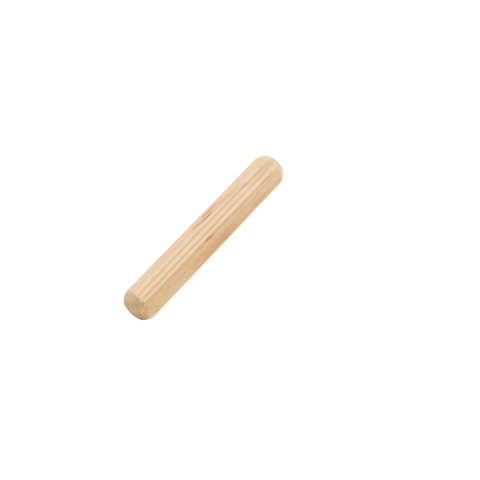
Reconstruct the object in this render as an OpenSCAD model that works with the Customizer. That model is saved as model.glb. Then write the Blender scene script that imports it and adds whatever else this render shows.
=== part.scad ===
/* [Pin] */
// Diameter across the smooth sides
pin_d = 10; // [8:0.5:16]
// Length over both flat ends
pin_len = 60; // [30:1:100]

/* [Ends] */
// How far the chamfer sets the rim of a flat end in from the smooth sides
chamfer_in = 1.45; // [0.6:0.05:2]
// How far the chamfer runs along the pin, up to the sharp corner it would have
chamfer_run = 1.6; // [1.2:0.05:4]
// Radius of the tumbled shoulder between chamfer and shank
shoulder_r = 4.5; // [0.5:0.1:6]
// Radius of the broken edge round a flat end
rim_r = 0.2; // [0.05:0.05:0.5]

/* [Flutes] */
// Number of flutes in each of the two opposite bands
flute_count = 4; // [2:1:6]
// Distance from one flute to the next, measured round the pin
flute_pitch = 1.6; // [1.3:0.05:2]
// Depth of the deepest flute of a band
flute_depth = 0.4; // [0.2:0.05:0.6]
// Share of that depth that the shallowest flute of a band lacks
flute_fade = 0.7; // [0:0.05:0.8]
// Radius of the hollow at the bottom of a flute
flute_r = 0.45; // [0.3:0.05:0.6]
// Radius of the soft lip on each side of a flute
lip_r = 0.2; // [0.05:0.05:0.3]

/* [Hidden] */
$fn = 96;
pin_r = pin_d / 2;
face_r = pin_r - chamfer_in; // radius of a flat end
chamfer_angle = atan(chamfer_in / chamfer_run); // from the axis
chamfer_len = chamfer_in / sin(chamfer_angle); // down the slope
rim_cut = setback(rim_r, 90 - chamfer_angle);
straight_share = 0.1; // least share of the slope that the shoulder leaves straight
shoulder_cut = min(setback(shoulder_r, chamfer_angle),
                   (1 - straight_share) * (chamfer_len - rim_cut));
shoulder = shoulder_cut / tan(chamfer_angle / 2); // shoulder_r, limited by the slope
flute_step = 360 * flute_pitch / (PI * pin_d); // flute_pitch as an angle
overrun = 1; // how far a cutter reaches past what it cuts
hair = 0.002; // how far a rounding stands proud, so that it crosses its faces cleanly

// A point at this distance and angle from the origin
function polar(distance, angle) = distance * [cos(angle), sin(angle)];

// Distance from a sharp corner to the point where its rounding begins
function setback(radius, turn) = radius * tan(turn / 2);

// Depth of flute i: full on one side of the band, fading towards the other
function depth_of(i) =
    flute_depth * (1 - flute_fade * pow(i / (flute_count - 1), 2));

// Distance from the pin's axis to the centre of a flute's hollow
function hollow_at(depth) = pin_r - depth + flute_r;

// Half the angle that a flute takes up at the surface, lips included
function lip_angle(depth) =
    let (a = hollow_at(depth), b = pin_r - lip_r, c = flute_r + lip_r)
    acos((a * a + b * b - c * c) / (2 * a * b));

// What a rounding takes off a corner, seen from the rounding's centre between two angles
module corner_waste(radius, from, to) {
    reach = radius + overrun;
    difference() {
        polygon([
            [0, 0],
            polar(reach, from),
            polar(reach / cos((to - from) / 2), (from + to) / 2),
            polar(reach, to)
        ]);
        circle(r = radius + hair);
    }
}

// What is rounded off the outline at the lower end: the flat end's rim and the shoulder
module end_waste() {
    translate([face_r - rim_cut, rim_r])
        corner_waste(rim_r, -90, -chamfer_angle);
    translate([pin_r - shoulder, chamfer_run + shoulder_cut])
        corner_waste(shoulder, -chamfer_angle, 0);
}

// Turned blank, chamfered at both ends and standing on one of them
module blank() {
    rotate_extrude()
        difference() {
            polygon([
                [0, 0],
                [face_r, 0],
                [pin_r, chamfer_run],
                [pin_r, pin_len - chamfer_run],
                [face_r, pin_len],
                [0, pin_len]
            ]);
            end_waste();
            translate([0, pin_len])
                mirror([0, 1])
                    end_waste();
        }
}

// Section that one flute takes out of the shank, on the +X side
module flute_section(depth) {
    lip_at = pin_r - lip_r;
    lip_a = lip_angle(depth);
    translate([hollow_at(depth), 0])
        circle(r = flute_r);
    difference() {
        polygon([
            [hollow_at(depth), 0],
            polar(lip_at, lip_a),
            polar(pin_r + overrun, lip_a),
            polar(pin_r + overrun, -lip_a),
            polar(lip_at, -lip_a)
        ]);
        for (side = [-1, 1])
            translate(polar(lip_at, side * lip_a))
                circle(r = lip_r + hair);
    }
}

// One band of flutes, centred on the +X side and open at both ends
module flute_band() {
    for (i = [0 : flute_count - 1])
        rotate(flute_step * (i - (flute_count - 1) / 2))
            translate([0, 0, -overrun])
                linear_extrude(pin_len + 2 * overrun)
                    flute_section(depth_of(i));
}

// Wooden pin with two opposite bands of pressed flutes
module dowel_pin() {
    color([0.92, 0.81, 0.68])
        difference() {
            blank();
            for (turn = [0, 180])
                rotate(turn)
                    flute_band();
        }
}

dowel_pin();
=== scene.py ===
import math

import bpy
from mathutils import Matrix, Vector


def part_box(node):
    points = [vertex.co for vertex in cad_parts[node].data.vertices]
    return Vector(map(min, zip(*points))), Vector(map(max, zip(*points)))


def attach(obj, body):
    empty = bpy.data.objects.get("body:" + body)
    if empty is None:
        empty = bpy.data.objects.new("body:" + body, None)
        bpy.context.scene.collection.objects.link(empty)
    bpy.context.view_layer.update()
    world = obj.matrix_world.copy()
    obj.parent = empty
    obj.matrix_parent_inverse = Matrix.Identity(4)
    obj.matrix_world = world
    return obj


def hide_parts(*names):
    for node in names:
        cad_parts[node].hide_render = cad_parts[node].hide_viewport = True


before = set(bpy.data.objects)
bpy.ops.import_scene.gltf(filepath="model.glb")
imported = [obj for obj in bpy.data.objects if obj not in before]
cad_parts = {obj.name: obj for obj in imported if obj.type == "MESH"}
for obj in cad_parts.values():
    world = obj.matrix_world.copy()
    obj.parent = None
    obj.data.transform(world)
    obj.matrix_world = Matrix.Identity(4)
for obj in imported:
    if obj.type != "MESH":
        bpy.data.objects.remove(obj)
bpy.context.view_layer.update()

mm = 0.001
scene = bpy.context.scene
pinLow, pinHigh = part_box("dowel_pin")
pinTop = Vector((0, 0, pinHigh[2]))
pinMiddle = Vector((0, 0, (pinLow[2] + pinHigh[2]) / 2))
print("frame loaded")


class Value:
    # A number that a node tree works out: sums written with it become Math nodes
    def __init__(self, tree, socket):
        self.tree = tree
        self.socket = socket

    def by(self, operation, *others):
        return calc(self.tree, operation, self, *others)

    def __add__(self, other):
        return self.by("ADD", other)

    def __sub__(self, other):
        return self.by("SUBTRACT", other)

    def __rsub__(self, other):
        return calc(self.tree, "SUBTRACT", other, self)

    def __mul__(self, other):
        return self.by("MULTIPLY", other)

    def __truediv__(self, other):
        return self.by("DIVIDE", other)

    def root(self):
        return self.by("MAXIMUM", 0).by("SQRT")

    def square(self):
        return self.by("MULTIPLY", self)

    def between(self, low, high):
        return self.by("MAXIMUM", low).by("MINIMUM", high)


def plug(tree, value, slot):
    if isinstance(value, Value):
        tree.links.new(value.socket, slot)
    elif isinstance(value, bpy.types.NodeSocket):
        tree.links.new(value, slot)
    else:
        slot.default_value = value


def calc(tree, operation, *values):
    node = tree.nodes.new("ShaderNodeMath")
    node.operation = operation
    for value, slot in zip(values, node.inputs):
        plug(tree, value, slot)
    return Value(tree, node.outputs[0])


def addNode(tree, kind, inputs=None, **settings):
    node = tree.nodes.new(kind)
    for name, value in settings.items():
        setattr(node, name, value)
    for name, value in (inputs or {}).items():
        plug(tree, value, node.inputs[name])
    return node


def parts(tree, vector):
    node = addNode(tree, "ShaderNodeSeparateXYZ", {"Vector": vector})
    return [Value(tree, socket) for socket in node.outputs]


def vectorOf(tree, x, y, z):
    return addNode(tree, "ShaderNodeCombineXYZ", {"X": x, "Y": y, "Z": z}).outputs[0]


def noiseAt(tree, x, y, z, seed, detail=2.0, roughness=0.5):
    # Smooth noise from 0 to 1, about 0.5 on average
    where = vectorOf(tree, x, y, z)
    node = addNode(tree, "ShaderNodeTexNoise", {"Vector": where, "W": seed, "Scale": 1.0,
                   "Detail": detail, "Roughness": roughness}, noise_dimensions="4D")
    return Value(tree, node.outputs[0])


def easeBetween(value, low, high):
    # 0 below low, 1 above high and a smooth rise between them
    node = addNode(value.tree, "ShaderNodeMapRange", {"Value": value, "From Min": low,
                   "From Max": high}, interpolation_type="SMOOTHSTEP")
    return Value(value.tree, node.outputs[0])


def fadeBetween(value, low, high):
    # 1 below low, 0 above high and a smooth fall between them
    return 1 - easeBetween(value, low, high)


def overStretch(value, start, full, fading, stop):
    # 1 from full to fading, 0 before start and after stop
    return easeBetween(value, start, full) * fadeBetween(value, fading, stop)


def atLeast(least, amount):
    # An amount from 0 to 1, squeezed to run from least to 1
    return amount * (1 - least) + least


def mixColour(tree, mode, amount, first, second):
    node = addNode(tree, "ShaderNodeMix", data_type="RGBA", blend_type=mode)
    plug(tree, amount, node.inputs["Factor"])
    for value, slot in zip((first, second), (node.inputs[6], node.inputs[7])):
        plug(tree, value, slot)
    return node.outputs[2]


def tint(tree, colour, amount, tone):
    return mixColour(tree, "MULTIPLY", amount, colour, tone)


cameraSet = {
    "imageWidth": 480,           # pixels
    "focalPixels": 1000,
    "sensor": 36.0,
    "clip": (0.01, 20.0),        # m
    "topPixel": (133.5, 310.9),  # where the middle of the upper end shows
    "topDepth": 263.0,           # mm from the lens to that point, along the view
    "slant": 46.85,              # degrees that the pin rises across the picture
    "away": 24.0,                # degrees that its foot leans away from the lens
    "turn": -13.9,               # azimuth of the camera about the pin
}


def placeCamera():
    data = bpy.data.cameras.new("studioCamera")
    camera = bpy.data.objects.new("studioCamera", data)
    scene.collection.objects.link(camera)
    scene.camera = camera
    focal = cameraSet["focalPixels"]
    half = cameraSet["imageWidth"] / 2
    data.sensor_width = cameraSet["sensor"]
    data.lens = focal / cameraSet["imageWidth"] * data.sensor_width
    data.clip_start, data.clip_end = cameraSet["clip"]
    slant, away, turn = (math.radians(cameraSet[name]) for name in ("slant", "away", "turn"))
    column, row = cameraSet["topPixel"]
    # As the lens sees them: x to the right, y up and z backwards
    topSeen = Vector((column - half, half - row, -focal)) * cameraSet["topDepth"] * mm / focal
    upSeen = Vector((-math.cos(slant) * math.cos(away), -math.sin(slant) * math.cos(away),
                     math.sin(away)))
    outSeen = (upSeen * topSeen.dot(upSeen) - topSeen).normalized()
    seen = Matrix((outSeen, upSeen.cross(outSeen), upSeen))
    up = Vector((0, 0, 1))
    out = Vector((math.cos(turn), math.sin(turn), 0))
    standing = Matrix((out, up.cross(out), up)).transposed()
    rotation = standing @ seen
    camera.matrix_world = Matrix.Translation(pinTop - rotation @ topSeen) @ rotation.to_4x4()


placeCamera()
print("camera placed")


studioSet = {
    "floorSize": 8.0,
    "floorColour": (0.85, 0.85, 0.85, 1.0),
    "floorLift": (0.40, 0.80),   # glow that the lens alone sees, near the pin and far off
    "liftFrom": (0.05, 0.40),    # m from the pin's axis
    "white": (1.0, 1.0, 1.0, 1.0),
    "dome": 0.58,                # light from all round
    "lamps": {
        # azimuth, height and distance about the pin's middle, size, share of full light
        "key": (42, 10, 0.60, 0.50, 0.50),
        "fill": (-70, 12, 0.70, 0.50, 0.38),
        "back": (184, 14, 0.80, 0.60, 0.24),
    },
}


def seenByCamera(tree):
    # 1 for rays from the lens, also after a gloss or a glass
    path = addNode(tree, "ShaderNodeLightPath")
    rays = [Value(tree, path.outputs[name]) for name in
            ("Is Camera Ray", "Is Glossy Ray", "Is Transmission Ray")]
    return rays[0].by("MAXIMUM", rays[1]).by("MAXIMUM", rays[2])


def floorMaterial():
    material = bpy.data.materials.new("paleFloor")
    material.use_nodes = True
    tree = material.node_tree
    tree.nodes.clear()
    paint = addNode(tree, "ShaderNodeBsdfDiffuse", {"Color": studioSet["floorColour"]})
    x, y = parts(tree, addNode(tree, "ShaderNodeTexCoord").outputs["Object"])[:2]
    far = easeBetween((x.square() + y.square()).root(), *studioSet["liftFrom"])
    low, high = studioSet["floorLift"]
    strength = seenByCamera(tree) * (far * (high - low) + low)
    lift = addNode(tree, "ShaderNodeEmission", {"Strength": strength})
    both = addNode(tree, "ShaderNodeAddShader")
    tree.links.new(paint.outputs[0], both.inputs[0])
    tree.links.new(lift.outputs[0], both.inputs[1])
    addNode(tree, "ShaderNodeOutputMaterial", {"Surface": both.outputs[0]})
    return material


def layFloor():
    half = studioSet["floorSize"] / 2
    mesh = bpy.data.meshes.new("studioFloor")
    corners = [(-half, -half, 0), (half, -half, 0), (half, half, 0), (-half, half, 0)]
    mesh.from_pydata(corners, [], [(0, 1, 2, 3)])
    mesh.materials.append(floorMaterial())
    floor = bpy.data.objects.new("studioFloor", mesh)
    scene.collection.objects.link(floor)


def lightDome():
    # It lights the pin softly, and the lens sees it as white
    world = bpy.data.worlds.new("studioDome")
    scene.world = world
    world.use_nodes = True
    tree = world.node_tree
    tree.nodes.clear()
    choice = addNode(tree, "ShaderNodeMixShader", {"Fac": seenByCamera(tree)})
    for strength, slot in zip((studioSet["dome"], 1.0), choice.inputs[1:]):
        glow = addNode(tree, "ShaderNodeBackground", {"Color": studioSet["white"],
                       "Strength": strength})
        tree.links.new(glow.outputs[0], slot)
    addNode(tree, "ShaderNodeOutputWorld", {"Surface": choice.outputs[0]})


def hangLamps():
    for name, (azimuth, height, distance, size, share) in studioSet["lamps"].items():
        data = bpy.data.lights.new(name + "Lamp", "AREA")
        data.size = size
        # A white surface that faces the lamp then looks as bright as this share
        data.energy = share * (math.pi * distance) ** 2
        lamp = bpy.data.objects.new(name + "Lamp", data)
        scene.collection.objects.link(lamp)
        turn, rise = math.radians(azimuth), math.radians(height)
        away = Vector((math.cos(turn) * math.cos(rise), math.sin(turn) * math.cos(rise),
                       math.sin(rise)))
        lamp.location = pinMiddle + away * distance
        lamp.rotation_euler = away.to_track_quat("Z", "Y").to_euler()


layFloor()
lightDome()
hangLamps()
scene.view_settings.view_transform = "Standard"
print("studio lit")


sawSet = {
    # The upper face's shape and colour both follow these
    "turn": 239.0,               # azimuth that the blade left by
    "pitch": 0.81,               # mm between its marks
}
woodSet = {
    # Lengths are in mm, and a pair of them is where a change starts and where it is complete
    "seed": 3.7,
    "rings": (
        # share of a ring's width, from its inner side, and the colour there
        (0.00, (0.920, 0.750, 0.551, 1.0)),
        (0.55, (0.893, 0.708, 0.505, 1.0)),
        (0.90, (0.880, 0.688, 0.478, 1.0)),  # the thin darker line that ends a ring
        (0.94, (0.880, 0.688, 0.478, 1.0)),
        (1.00, (0.920, 0.750, 0.551, 1.0)),
    ),
    "ringWidth": 1.9,
    "ringPhase": 0.11,
    "pith": (5.7, -32.5),        # the tree's middle, from the pin's
    "lean": (0.0, 0.004),        # how far the grain leaves the pin's axis, per mm
    "waver": (0.2, 0.03, 0.35),  # turns per mm across and along, and reach
    "waverShifts": (0, 5),
    "upper": (8.0, 30.0),        # Z over which the wood reddens a little
    "upperTone": (1.0, 0.968, 0.952, 1.0),
    "bark": (34.0, 35.2),        # distance from the pith over which the outer wood deepens
    "barkZ": (20.0, 45.0),       # and the heights over which it starts to
    "barkTone": (0.975, 0.942, 0.932, 1.0),
    "heart": (29.9, 30.4),       # distance from the pith over which older, warmer wood ends
    "heartFull": (28.4, 0.68),   # distance where it is deepest, and its share by its edge
    "heartLean": 0.0135,         # how much wider it reaches per mm of Z
    "heartZ": (1.0, 25.0, 0.5),  # Z over which it deepens, and its share below
    "heartTone": (0.888, 0.802, 0.665, 1.0),
    "figureAndShade": (28.2, 29.5),      # distance from the pith over which a darker cloud ends: partly figure, partly painted shade as from pins beside it
    "figureAndShadeZ": (23.5, 28.0, 34.5, 42.0),     # Z fully out and in at its lower end, then its upper
    "figureAndShadeTone": (0.955, 0.885, 0.820, 1.0),
    "front": (0.0, 1.0),         # X over which the bands begin
    "bands": (
        # middle in Y and half width, Z as for the figure, tone
        (-1.92, 0.42, 20.0, 34.0, 62.0, 64.0, (0.980, 0.910, 0.840, 1.0)),
        (-2.20, 0.50, -4.0, -2.0, 20.0, 34.0, (0.945, 0.905, 0.860, 1.0)),
        # paler on a crest: painted highlight
        (-1.60, 0.55, -2.0, 1.0, 20.0, 30.0, (1.055, 1.070, 1.080, 1.0)),
        (0.10, 0.90, -2.0, 1.0, 9.0, 16.0, (0.930, 0.900, 0.870, 1.0)),
        # paler on the same crest: painted highlight
        (-1.40, 0.55, 16.0, 24.0, 36.0, 46.0, (1.055, 1.085, 1.100, 1.0)),
        # darker far round on one side: painted shade as from a pin beside it
        (-4.30, 0.95, 14.0, 27.0, 31.0, 46.0, (0.942, 0.882, 0.832, 1.0)),
        (1.16, 0.50, -2.0, -1.0, 15.0, 22.0, (1.050, 1.090, 1.110, 1.0)),
        # paler on a flute near the foot: painted light
        (-2.80, 0.80, -2.0, -1.0, 1.5, 5.5, (1.045, 1.090, 1.110, 1.0)),
    ),
    "grain": {
        # marks per mm across and along, detail, roughness and shift of their noise, the noise
        # they start and are full at, their share on wood that isn't heartwood, tone
        "streak": (0.6, 0.020, 3.0, 0.5, 11, 0.35, 0.75, 1.0, (0.985, 0.955, 0.920, 1.0)),
        "mottle": (0.45, 0.09, 2.0, 0.5, 41, 0.47, 0.65, 1.0, (0.975, 0.940, 0.890, 1.0)),
        "fleck": (4.5, 0.80, 2.0, 0.5, 42, 0.47, 0.65, 0.35, (0.890, 0.860, 0.820, 1.0)),
        "line": (2.4, 0.045, 2.0, 0.5, 43, 0.47, 0.65, 0.3, (0.930, 0.895, 0.855, 1.0)),
        "fibre": (9.0, 0.16, 3.0, 0.6, 17, 0.40, 0.72, 1.0, (0.965, 0.935, 0.900, 1.0)),
        "vessel": (6.0, 0.25, 1.0, 0.5, 23, 0.64, 0.76, 1.0, (0.800, 0.700, 0.580, 1.0)),
    },
    "slant": (0.03, 0.09, 0.60, 0.95),       # endGrain over which a chamfer starts and stops
    "pressed": (2.0, 30.0, 0.3),             # Z over which painted shade darkens the grooves, and its share below
    "pressedHeart": 0.5,                     # share of that lost on heartwood
    "pressedTone": (0.905, 0.893, 0.870, 1.0),
    "footGrooveLight": (1.5, 6.0),                    # Z over which the painted light on the grooves' lower ends stops
    "footGrooveLightTone": (1.060, 1.110, 1.130, 1.0),
    "upperHalf": (25.0, 35.0),               # Z over which the lower end's share gives way to the upper end's painted shade, grey face, pores and saw marks
    "footShare": 0.10,                       # share of the upper end's painted shade, grey face and pores that the lower end shows
    "chamferShadeLeast": 0.05,                     # share of the chamfer's painted shade that is all round it
    "chamferShadeSteps": (
        # Y over which the painted shade on the chamfer deepens, lean per mm of Z, share
        (-4.1, -3.6, 0.8, 0.50),
        (-2.8, -1.7, 0.0, 0.45),
    ),
    "chamferShadeZ": 58.9,                         # height that the lean is measured from
    "chamferShadeFade": (0.3, 3.2, 0.5),           # Y over which it fades, share after
    "chamferShadeOuter": (58.3, 59.3, 0.92),       # Z over which its outer part ends, share there
    "chamferShadeSides": ((-2.2, -1.0, 0.45), (0.0, 0.8, 0.25)),  # Y beside its inner part, loss
    # painted shade on the upper chamfer
    "chamferShadeTone": (0.650, 0.580, 0.475, 1.0),
    "endFaceGreyAndShade": (1.4, 2.8, 0.6),                 # Y over which the faces' grey end grain and painted shade fade, share after
    # grey end grain and painted shade on the faces
    "endFaceGreyAndShadeTone": (0.769, 0.735, 0.616, 1.0),
    "footChamferLight": (1.2, 3.0, 0.6),                # Z over which the painted light on the lower chamfer ends, share
    "footChamferLightTone": (0.950, 0.850, 0.740, 1.0),
    "rimMiddle": (0.44, -0.09),
    "rim": (2.80, 3.15),                     # distance from there over which the painted shade on the rim deepens
    "rimZ": (58.4, 59.8),                    # and the heights
    "rimSide": (-1.0, -0.75, 1.0, 2.0),      # direction in X and Y, and how far out that way
    "rimPatches": (0.6, 0.3, 51, 0.35, 0.60, 0.5),  # per mm, noise's shift, start and full, least
    # painted shade on the rim
    "rimShadeTone": (0.730, 0.670, 0.610, 1.0),
    "scored": (0.5, 1.5),                    # the blade's way over which its marks start
    "scoredFrom": 0.15,                      # where along it they are counted from
    "scoredWaver": 0.6,                      # how much of the grain's waver they share
    "scoredBeside": (0.6, 2.2, 0.2),         # across it, where they weaken, share after
    # saw marks and painted shade on the upper face
    "scoredAndShadedTone": (0.700, 0.610, 0.540, 1.0),
    "pore": (7.0, 2.0, 31, 0.5, 0.8, 0.5),   # per mm, noise's shift, start and full, share
    "poreTone": (0.840, 0.800, 0.740, 1.0),
    "stain": (0.7, 0.6),                     # share of the stain by a tear, and more on fibres
    "stainTone": (0.930, 0.835, 0.660, 1.0),
    "thread": (14.0, 0.5, 37, 0.9),          # torn fibres per mm, noise's shift, strength
    "tear": (0.25, 0.75, 0.02, 0.20, 0.78),  # start and full, frayed by them and not, then share
    "tearColour": (0.360, 0.200, 0.090, 1.0),
    "relief": (0.4, 0.6, 0.8),               # how far fibres rise, and vessels and pores sink
    "reliefDepth": 0.02,                     # mm that a rise of 1 stands for
    "bump": 0.5,
    "roughness": (0.62, 0.10, 0.10, 0.05),   # plain, and more on fibres, end grain and grooves
    "specular": 0.3,
}


def rampOf(tree, share, stops):
    ramp = addNode(tree, "ShaderNodeValToRGB", {"Fac": share})
    band = ramp.color_ramp
    band.interpolation = "EASE"
    while len(band.elements) < len(stops):
        band.elements.new(1.0)  # put in its place below
    for element, (place, colour) in zip(band.elements, stops):
        element.position = place
        element.color = colour
    return ramp.outputs[0]


def woodNoise(tree, spot, across, along, shift, detail=2.0, roughness=0.5):
    # Noise at a number of turns per mm across and along the grain, apart from other shifts' noise
    return noiseAt(tree, spot["x"] * across, spot["y"] * across, spot["z"] * along,
                   woodSet["seed"] + shift, detail, roughness)


def grownWood(tree, spot):
    # Growth rings about a pith outside the pin, with warmer wood nearer to it; a darker cloud and
    # single bands add painted light and shade
    x, y, z = spot["x"], spot["y"], spot["z"]
    across, along, reach = woodSet["waver"]
    waverX, waverY = (woodNoise(tree, spot, across, along, shift) - 0.5
                      for shift in woodSet["waverShifts"])
    ringX = x - woodSet["pith"][0] + z * woodSet["lean"][0] + waverX * reach
    ringY = y - woodSet["pith"][1] + z * woodSet["lean"][1] + waverY * reach
    fromPith = (ringX.square() + ringY.square()).root()
    share = (fromPith / woodSet["ringWidth"] + woodSet["ringPhase"]).by("FRACT")
    colour = rampOf(tree, share, woodSet["rings"])
    colour = tint(tree, colour, easeBetween(z, *woodSet["upper"]), woodSet["upperTone"])
    bark = easeBetween(fromPith, *woodSet["bark"]) * easeBetween(z, *woodSet["barkZ"])
    colour = tint(tree, colour, bark, woodSet["barkTone"])

    leant = fromPith - z * woodSet["heartLean"]
    edge, end = woodSet["heart"]
    deep, edgeShare = woodSet["heartFull"]
    low, high, footShare = woodSet["heartZ"]
    heart = fadeBetween(leant, edge, end) * atLeast(edgeShare, fadeBetween(leant, deep, edge))
    deepened = heart * atLeast(footShare, easeBetween(z, low, high))
    colour = tint(tree, colour, deepened, woodSet["heartTone"])
    # A darker cloud: partly figure in the wood, partly painted shade as from pins beside it
    figureAndShade = fadeBetween(fromPith, *woodSet["figureAndShade"]) * overStretch(z, *woodSet["figureAndShadeZ"])
    colour = tint(tree, colour, figureAndShade, woodSet["figureAndShadeTone"])

    # Single paler and darker bands along the front: some are tone, some painted highlights on a
    # crest and on a flute's lower end, one painted shade far round on one side
    for middle, half, start, full, fading, stop, tone in woodSet["bands"]:
        aside = ((y - middle) / half).square()
        band = fadeBetween(aside, 0.0, 1.0) * overStretch(z, start, full, fading, stop)
        colour = tint(tree, colour, band * easeBetween(x, *woodSet["front"]), tone)
    return colour, heart, waverX


def grainedWood(tree, spot, colour, heart):
    # Broad streaks, flecks, fine fibres and short dark vessels, all long in Z
    noises, marks = {}, {}
    for name, settings in woodSet["grain"].items():
        across, along, detail, roughness, shift, start, full, pale, tone = settings
        noises[name] = woodNoise(tree, spot, across, along, shift, detail, roughness)
        marks[name] = easeBetween(noises[name], start, full) * atLeast(pale, heart)
        colour = tint(tree, colour, marks[name], tone)
    return colour, noises["fibre"], marks["vessel"]


def pressedWood(tree, spot, colour, heart):
    # Painted shade darkens the grooves, less towards their lower ends, and painted light makes
    # those ends paler
    z = spot["z"]
    low, high, footShare = woodSet["pressed"]
    groove = spot["hollow"] * (1 - spot["slant"]) * (1 - spot["endGrain"])
    pressed = groove * (1 - heart * woodSet["pressedHeart"])
    pressed = pressed * atLeast(footShare, easeBetween(z, low, high))
    # Painted shade in the grooves
    colour = tint(tree, colour, pressed, woodSet["pressedTone"])
    # Painted light on the grooves' lower ends
    return tint(tree, colour, groove * fadeBetween(z, *woodSet["footGrooveLight"]), woodSet["footGrooveLightTone"])


def litAndShadedEnds(tree, spot, colour):
    # Painted shade on the upper chamfer, more on one side; the faces greyer, partly as end grain
    # and partly as painted shade; painted light on the lower chamfer
    y, z = spot["y"], spot["z"]
    chamferShade = woodSet["chamferShadeLeast"]
    for start, full, lean, share in woodSet["chamferShadeSteps"]:
        chamferShade = easeBetween(y + (z - woodSet["chamferShadeZ"]) * lean, start, full) * share + chamferShade
    fading, stop, share = woodSet["chamferShadeFade"]
    chamferShade = chamferShade * atLeast(share, fadeBetween(y, fading, stop))
    (leftLow, leftHigh, leftShare), (rightLow, rightHigh, rightShare) = woodSet["chamferShadeSides"]
    inner = 1 - fadeBetween(y, leftLow, leftHigh) * leftShare
    inner = inner - easeBetween(y, rightLow, rightHigh) * rightShare
    low, high, outer = woodSet["chamferShadeOuter"]
    chamferShade = chamferShade * (easeBetween(z, low, high) * (inner - outer) + outer)
    # Painted shade on the upper chamfer, deepest on one side
    colour = tint(tree, colour, spot["slant"] * spot["wear"] * chamferShade, woodSet["chamferShadeTone"])

    # The faces greyer: partly end grain, partly painted shade
    fading, stop, share = woodSet["endFaceGreyAndShade"]
    greyedAndShadedFace = spot["flat"] * spot["wear"] * atLeast(share, fadeBetween(y, fading, stop))
    colour = tint(tree, colour, greyedAndShadedFace, woodSet["endFaceGreyAndShadeTone"])
    # Painted light: the lower chamfer paler
    fading, stop, share = woodSet["footChamferLight"]
    footChamferLight = spot["slant"] * fadeBetween(z, fading, stop) * share
    return mixColour(tree, "MIX", footChamferLight, colour, woodSet["footChamferLightTone"])


def shadedRim(tree, spot, colour):
    # Painted shade on one side of the upper face's rim, in patches
    x, y, z = spot["x"], spot["y"], spot["z"]
    middleX, middleY = woodSet["rimMiddle"]
    fromMiddle = ((x - middleX).square() + (y - middleY).square()).root()
    rimShade = easeBetween(fromMiddle, *woodSet["rim"]) * easeBetween(z, *woodSet["rimZ"])
    wayX, wayY, start, full = woodSet["rimSide"]
    rimShade = rimShade * easeBetween(x * wayX + y * wayY, start, full)
    across, along, shift, start, full, least = woodSet["rimPatches"]
    patches = easeBetween(woodNoise(tree, spot, across, along, shift), start, full)
    return tint(tree, colour, rimShade * atLeast(least, patches), woodSet["rimShadeTone"])


def scoredAndShadedFace(tree, spot, colour, waverX):
    # The blade's lines on the upper face, darker where its ridges face away from the light: partly
    # real marks, partly painted shade
    turn = math.radians(sawSet["turn"])
    ahead = spot["x"] * math.cos(turn) + spot["y"] * math.sin(turn)
    ahead = ahead + waverX * woodSet["scoredWaver"]
    beside = spot["y"] * math.cos(turn) - spot["x"] * math.sin(turn)
    phase = (ahead - woodSet["scoredFrom"]) * (math.tau / sawSet["pitch"])
    marks = (phase.by("SINE") * 0.5 + 0.5) * easeBetween(ahead, *woodSet["scored"])
    marks = marks * spot["flat"] * easeBetween(spot["z"], *woodSet["upperHalf"])
    fading, stop, share = woodSet["scoredBeside"]
    marks = marks * atLeast(share, fadeBetween(beside, fading, stop))
    return tint(tree, colour, marks, woodSet["scoredAndShadedTone"])


def tornWood(tree, spot, colour, fibre):
    # Dark torn fibres with a stain about them
    least, more = woodSet["stain"]
    colour = tint(tree, colour, spot["stain"] * (fibre * more + least), woodSet["stainTone"])
    across, along, shift, strength = woodSet["thread"]
    start, full, bareStart, bareFull, share = woodSet["tear"]
    frayed = spot["tear"] + (woodNoise(tree, spot, across, along, shift) - 0.5) * strength
    torn = easeBetween(frayed, start, full) * easeBetween(spot["tear"], bareStart, bareFull)
    return mixColour(tree, "MIX", torn * share, colour, woodSet["tearColour"])


def makeWood():
    material = bpy.data.materials.new("birchWood")
    material.use_nodes = True
    tree = material.node_tree
    tree.nodes.clear()
    place = addNode(tree, "ShaderNodeTexCoord").outputs["Object"]
    inMm = addNode(tree, "ShaderNodeMapping", {"Vector": place, "Scale": (1 / mm,) * 3})
    spot = dict(zip("xyz", parts(tree, inMm.outputs[0])))
    for name in ("endGrain", "hollow", "tear", "stain"):
        node = addNode(tree, "ShaderNodeAttribute", attribute_name=name)
        spot[name] = Value(tree, node.outputs["Fac"])
    spot["slant"] = overStretch(spot["endGrain"], *woodSet["slant"])
    spot["flat"] = easeBetween(spot["endGrain"], *woodSet["slant"][2:])
    # 1 on the upper end and footShare on the lower: the upper end's painted shade, grey face and
    # pores follow it
    spot["wear"] = atLeast(woodSet["footShare"], easeBetween(spot["z"], *woodSet["upperHalf"]))

    colour, heart, waverX = grownWood(tree, spot)
    colour, fibre, vessel = grainedWood(tree, spot, colour, heart)
    colour = pressedWood(tree, spot, colour, heart)
    colour = litAndShadedEnds(tree, spot, colour)
    colour = shadedRim(tree, spot, colour)
    colour = scoredAndShadedFace(tree, spot, colour, waverX)
    across, along, shift, start, full, share = woodSet["pore"]
    pore = easeBetween(woodNoise(tree, spot, across, along, shift), start, full)
    pores = spot["endGrain"] * spot["wear"] * pore * share
    colour = tint(tree, colour, pores, woodSet["poreTone"])
    colour = tornWood(tree, spot, colour, fibre)

    fibreRise, vesselDrop, poreDrop = woodSet["relief"]
    relief = fibre * fibreRise - vessel * vesselDrop - spot["endGrain"] * pore * poreDrop
    bump = addNode(tree, "ShaderNodeBump", {"Strength": woodSet["bump"],
                   "Distance": woodSet["reliefDepth"] * mm, "Height": relief})
    plain, onFibre, onEnd, inGroove = woodSet["roughness"]
    roughness = fibre * onFibre + spot["endGrain"] * onEnd + spot["hollow"] * inGroove + plain
    skin = addNode(tree, "ShaderNodeBsdfPrincipled", {"Base Color": colour, "Roughness": roughness,
                   "Normal": bump.outputs[0], "Specular IOR Level": woodSet["specular"]})
    addNode(tree, "ShaderNodeOutputMaterial", {"Surface": skin.outputs[0]})
    return material


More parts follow.
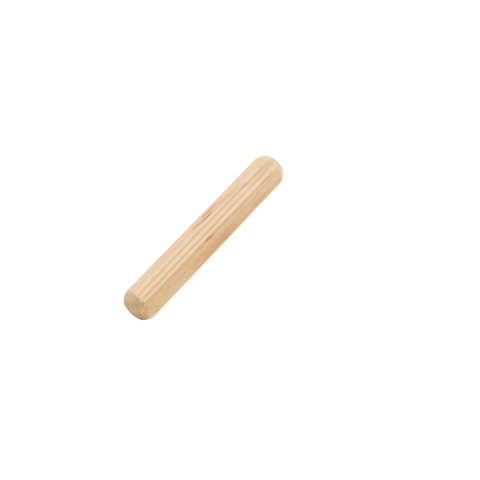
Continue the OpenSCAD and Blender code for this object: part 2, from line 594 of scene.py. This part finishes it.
pinSet = {
    "inputs": {
        "Around": 320,               # vertices in a ring
        "Along": 250,                # rings from end to end
        "Cap Rings": 24,
        "Chamfer In": 1.45 * mm,
        "Chamfer Run": 1.6 * mm,
        "Shoulder Radius": 4.5 * mm,
        "Broken Edge": 0.14 * mm,
        "Flute Count": 4,
        "Flute Pitch": 1.6 * mm,
        "Flute Depth": 0.4 * mm,
        "Flute Fade": 0.7,
        "Flute Radius": 0.45 * mm,
        "Lip Radius": 0.2 * mm,
        "Wear": 0.10 * mm,           # how softly the flutes run out into the chamfers
        "Unevenness": 0.03 * mm,
        "Wander": 0.08 * mm,
        "Tool Marks": 0.008 * mm,
        "Saw Step": 0.06 * mm,       # where the last fibres broke off as the saw came through
        "Step At": 2.4 * mm,
        "Saw Ridge": 0.025 * mm,
        "Ridge Pitch": sawSet["pitch"] * mm,
        "Seed": 5,
    },
    "splits": {
        # azimuth and drift in degrees, heights from and to, width, depth and stain in mm, seed
        "tornHead": (39.5, -9.7, 34.0, 29.6, 0.19, 0.16, 0.7, 1),
        "tornFlute": (29.9, -2.2, 31.2, 24.0, 0.22, 0.20, 0.8, 2),
        "tornTail": (27.4, -6.0, 26.6, 13.0, 0.11, 0.07, 0.55, 3),
        "tornLand": (43.8, -2.3, 29.2, 21.6, 0.27, 0.22, 0.7, 4),
        "longSplit": (11.3, -4.8, 21.0, 2.2, 0.08, 0.05, 0.3, 5),
        "shortNick": (9.2, -0.7, 14.9, 11.5, 0.16, 0.12, 0.3, 6),
        "darkNick": (-26.1, -3.1, 34.0, 30.1, 0.20, 0.16, 0.5, 7),
        "rightLine": (-63.3, 1.0, 21.2, 2.8, 0.14, 0.09, 0.4, 8),
    },
    "taper": 0.6,                    # below 1, a split is blunter at its tips
    "jag": (0.9, 0.25 * mm, 3.0),    # turns per mm of a split's path, reach, detail of its noise
    "ragged": (1.4, 3.0, 0.4),       # turns per mm of its width, shift of its noise, least share
    "stainFull": 0.1,                # share of a stain's reach that has all of it
    "tornFrom": 0.12 * mm,           # depth from which a split is marked as wholly torn
    "crowding": 0.2,                 # how far the vertices gather on the fluted bands
    "ends": 1.5,                     # above 1, rings crowd towards the ends and the faces' rims
    "rough": (0.8, 0.12, 0, 3.0),    # turns per mm across and along, shift, detail
    "wander": (0.3, 0.07, 2, 2.0),   # the flutes' way round the pin
    "ripple": (0.9, 0.10, 4, 3.0),   # the surface's unevenness
    "dish": (0.5, 6, 3.0, 8.0),      # turns per mm, shift, detail, how near the rim it stops
    "shallower": 0.15,               # share of a flute's depth lost where the wood is rough
    "hollow": (0.1, 0.7),            # share of a flute's depth over which it counts as a groove
    "toolTurns": (17.0, 5.0),        # radians of the tool's marks per mm, and how uneven they are
    "toolUntil": (0.35, 0.80),       # share of the chamfer over which they end
    "stepOver": 0.25 * mm,           # width of the saw step's slope
    "ridges": (0.9 * mm, 1.9 * mm),  # the blade's way over which its ridges start
    "ridgeRim": 0.05,                # share of the face's radius over which they stop at the rim
}
wholeInputs = ("Around", "Along", "Cap Rings", "Flute Count", "Seed")  # the rest are decimals


def openTree(name, labels):
    # A new tree with its named inputs, as numbers that sums can use
    tree = bpy.data.node_groups.new(name, "GeometryNodeTree")
    for label in labels:
        kind = "NodeSocketInt" if label in wholeInputs else "NodeSocketFloat"
        tree.interface.new_socket(name=label, in_out="INPUT", socket_type=kind)
    entry = tree.nodes.new("NodeGroupInput")
    return tree, {label: Value(tree, entry.outputs[label]) for label in labels}


def splitTree():
    # How deep a torn line cuts at one point of the surface, and how far it stains there
    tree, given = openTree("tornLine", ("Azimuth", "Height", "Radius", "At", "Drift", "From", "To",
                                        "Width", "Depth", "Stain", "Seed"))
    for label in ("Cut", "Stain"):
        tree.interface.new_socket(name=label, in_out="OUTPUT", socket_type="NodeSocketFloat")
    share = ((given["Height"] - given["From"]) / (given["To"] - given["From"])).between(0, 1)
    taper = (share * math.pi).by("SINE").by("MAXIMUM", 0).by("POWER", pinSet["taper"])
    heightMm = given["Height"] / mm
    turns, reach, detail = pinSet["jag"]
    jag = (noiseAt(tree, heightMm * turns, 0.0, 0.0, given["Seed"], detail) - 0.5) * reach
    path = given["At"] + given["Drift"] * share
    off = ((given["Azimuth"] - path) * given["Radius"] + jag).by("ABSOLUTE")
    turns, shift, least = pinSet["ragged"]
    ragged = noiseAt(tree, heightMm * turns, shift, 0.0, given["Seed"]) + least
    tiny = 0.001 * mm  # keeps a width of nothing out of the division
    near = (1 - off / (given["Width"] * taper * ragged + tiny)).between(0, 1)
    cut = given["Depth"] * taper * easeBetween(near, 0, 1)
    around = taper * fadeBetween(off / given["Stain"], pinSet["stainFull"], 1)
    leave = tree.nodes.new("NodeGroupOutput")
    plug(tree, cut, leave.inputs["Cut"])
    plug(tree, around, leave.inputs["Stain"])
    return tree


def endProfile(given, fromEnd):
    # Radius of the plain pin at a distance from its nearer end, and where the chamfer stops
    radius = given["Diameter"] / 2
    slope = given["Chamfer In"] / given["Chamfer Run"]
    angle = slope.by("ARCTANGENT")
    shoulder = given["Shoulder Radius"]
    setback = shoulder * (angle / 2).by("TANGENT")
    arcFrom = given["Chamfer Run"] - setback * angle.by("COSINE")
    arcTo = given["Chamfer Run"] + setback
    left = arcTo - fromEnd.between(arcFrom, arcTo)
    arc = radius - shoulder + (shoulder.square() - left.square()).root()
    straight = slope * (fromEnd - arcFrom).by("MINIMUM", 0)
    edge = 1 - (fromEnd / given["Broken Edge"]).by("MINIMUM", 1)
    drop = given["Broken Edge"] * (1 - (1 - edge.square()).root())
    return arc + straight - drop, arcTo


def fluteFloor(given, azimuth, rough):
    # Radius inside the flutes, and the full radius everywhere else
    radius = given["Diameter"] / 2
    last = given["Flute Count"] - 1
    step = given["Flute Pitch"] / radius
    folded = azimuth.by("WRAP", math.pi / 2, -math.pi / 2)
    cell = folded / step + last / 2
    index = cell.by("ROUND").between(0, last)
    off = (cell - index).by("ABSOLUTE") * given["Flute Pitch"]
    depth = given["Flute Depth"] * (1 - given["Flute Fade"] * (index / last).square())
    depth = depth * (1 - rough * pinSet["shallower"])
    hollowR, lipR = given["Flute Radius"], given["Lip Radius"]
    middle = radius - depth + hollowR
    reach = hollowR + lipR
    lipAt = (reach.square() - (middle - radius + lipR).square()).root()
    meet = lipAt * hollowR / reach
    floor = middle - (hollowR.square() - off.by("MINIMUM", meet).square()).root()
    fromLip = lipAt - off.by("MAXIMUM", meet).by("MINIMUM", lipAt)
    lipRise = (lipR.square() - fromLip.square()).root()
    return floor + lipRise - (lipR.square() - (lipAt - meet).square()).root()


def tornCuts(tree, azimuth, height, radius):
    # The deepest cut and the strongest stain of all the splits
    torn = splitTree()
    cut = stain = 0.0
    for at, drift, start, stop, width, depth, halo, seed in pinSet["splits"].values():
        values = {"Azimuth": azimuth, "Height": height, "Radius": radius, "At": math.radians(at),
                  "Drift": math.radians(drift), "From": start * mm, "To": stop * mm,
                  "Width": width * mm, "Depth": depth * mm, "Stain": halo * mm, "Seed": seed}
        node = addNode(tree, "GeometryNodeGroup", node_tree=torn)
        for label, value in values.items():
            plug(tree, value, node.inputs[label])
        cut = calc(tree, "MAXIMUM", cut, node.outputs[0])
        stain = calc(tree, "MAXIMUM", stain, node.outputs[1])
    return cut, stain


def flutedPinTree(wood):
    tree, given = openTree("flutedPin", ("Diameter", "Length", *pinSet["inputs"]))
    tree.interface.new_socket(name="Geometry", in_out="OUTPUT", socket_type="NodeSocketGeometry")
    radius, length, seed = given["Diameter"] / 2, given["Length"], given["Seed"]
    barrel = addNode(tree, "GeometryNodeMeshCylinder", {"Vertices": given["Around"],
                     "Side Segments": given["Along"], "Fill Segments": given["Cap Rings"],
                     "Radius": 1.0, "Depth": 2.0}, fill_type="TRIANGLE_FAN")
    x, y, run = parts(tree, tree.nodes.new("GeometryNodeInputPosition").outputs[0])

    # Rings crowd towards the ends, and their vertices towards the two fluted bands
    rim = (x.square() + y.square()).root().by("MINIMUM", 1)
    turn = calc(tree, "ARCTAN2", y, x)
    azimuth = turn - (turn * 2).by("SINE") * pinSet["crowding"]
    endwards = (1 - run.by("ABSOLUTE")).by("MAXIMUM", 0).by("POWER", pinSet["ends"])
    fromEnd = length / 2 * endwards
    height = length / 2 + run.by("SIGN") * (length / 2 - fromEnd)

    # The same point on the plain cylinder, in mm, for the noises
    sideX, sideY = azimuth.by("COSINE") * radius / mm, azimuth.by("SINE") * radius / mm
    heightMm = height / mm

    def sideNoise(name):
        across, along, shift, detail = pinSet[name]
        return noiseAt(tree, sideX * across, sideY * across, heightMm * along, seed + shift, detail)

    rough, ripple = sideNoise("rough"), sideNoise("ripple")
    wander = (sideNoise("wander") - 0.5) * given["Wander"]

    profile, chamferTo = endProfile(given, fromEnd)
    fluted = fluteFloor(given, azimuth, rough)
    body = profile.by("SMOOTH_MIN", fluted, given["Wear"])
    hollow = easeBetween((radius - fluted) / given["Flute Depth"], *pinSet["hollow"])
    along, uneven = pinSet["toolTurns"]
    marks = ((fromEnd / mm * along + rough * uneven).by("SINE") + 1) * given["Tool Marks"]
    marks = marks * fadeBetween(fromEnd / chamferTo, *pinSet["toolUntil"])
    body = body - ripple * given["Unevenness"] - marks
    cut, stain = tornCuts(tree, azimuth, height, radius)
    tear = (cut / pinSet["tornFrom"]).between(0, 1)

    # The share of the way out to the rim, on the faces
    capOut = 1 - (1 - rim).by("POWER", pinSet["ends"])
    reachOut = capOut * (body - cut)
    spun = azimuth + wander / radius
    turns, shift, detail, late = pinSet["dish"]
    capX, capY = sideX * capOut * turns, sideY * capOut * turns
    dish = noiseAt(tree, capX, capY, run, seed + shift, detail)
    dish = dish * (1 - capOut.by("POWER", late)) * given["Unevenness"]
    across = reachOut * (azimuth - math.radians(sawSet["turn"])).by("COSINE")
    chip = easeBetween(across, given["Step At"], given["Step At"] + pinSet["stepOver"])
    ridge = ((across * math.tau / given["Ridge Pitch"]).by("SINE") + 1) * given["Saw Ridge"]
    ridge = ridge * easeBetween(across, *pinSet["ridges"])
    ridge = ridge * easeBetween(1 - capOut, 0.0, pinSet["ridgeRim"])
    dish = dish + (chip * given["Saw Step"] + ridge) * run.by("MAXIMUM", 0)
    place = vectorOf(tree, spun.by("COSINE") * reachOut, spun.by("SINE") * reachOut,
                     height - run.by("SIGN") * dish)

    # What the wood needs to know about each point, kept before the vertices move
    keep = barrel.outputs["Mesh"]
    for name, value in (("hollow", hollow), ("tear", tear), ("stain", stain)):
        keep = addNode(tree, "GeometryNodeStoreNamedAttribute", {"Geometry": keep, "Name": name,
                       "Value": value}, data_type="FLOAT", domain="POINT").outputs[0]
    moved = addNode(tree, "GeometryNodeSetPosition", {"Geometry": keep, "Position": place})
    normal = tree.nodes.new("GeometryNodeInputNormal").outputs[0]
    upward = parts(tree, normal)[2].square()  # 0 on the sides, 1 on the faces
    ended = addNode(tree, "GeometryNodeStoreNamedAttribute", {"Geometry": moved.outputs[0],
                    "Name": "endGrain", "Value": upward}, data_type="FLOAT", domain="POINT")
    smooth = addNode(tree, "GeometryNodeSetShadeSmooth", {"Geometry": ended.outputs[0]})
    whole = addNode(tree, "GeometryNodeRealizeInstances", {"Geometry": smooth.outputs[0]})
    dressed = addNode(tree, "GeometryNodeSetMaterial", {"Geometry": whole.outputs[0],
                      "Material": wood})
    leave = tree.nodes.new("NodeGroupOutput")
    plug(tree, dressed.outputs[0], leave.inputs["Geometry"])
    return tree


def bakeTree(name, tree, values):
    # Runs a tree on an empty mesh and keeps its result as a plain mesh object
    maker = bpy.data.objects.new(name + "Maker", bpy.data.meshes.new(name + "Maker"))
    scene.collection.objects.link(maker)
    modifier = maker.modifiers.new(name, "NODES")
    modifier.node_group = tree
    for item in tree.interface.items_tree:
        if item.in_out == "INPUT" and item.name in values:
            modifier[item.identifier] = values[item.name]
    made = maker.evaluated_get(bpy.context.evaluated_depsgraph_get())
    mesh = bpy.data.meshes.new_from_object(made)
    mesh.name = name
    bpy.data.objects.remove(maker)
    piece = bpy.data.objects.new(name, mesh)
    scene.collection.objects.link(piece)
    return piece


def makePin():
    wood = makeWood()
    print("wood mixed")
    tree = flutedPinTree(wood)
    sizes = {"Diameter": pinHigh[0] - pinLow[0], "Length": pinHigh[2] - pinLow[2]}
    pin = bakeTree("flutedDowel", tree, {**sizes, **pinSet["inputs"]})
    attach(pin, "root")
    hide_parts("dowel_pin")
    print("pin made:", len(pin.data.polygons), "faces")


makePin()
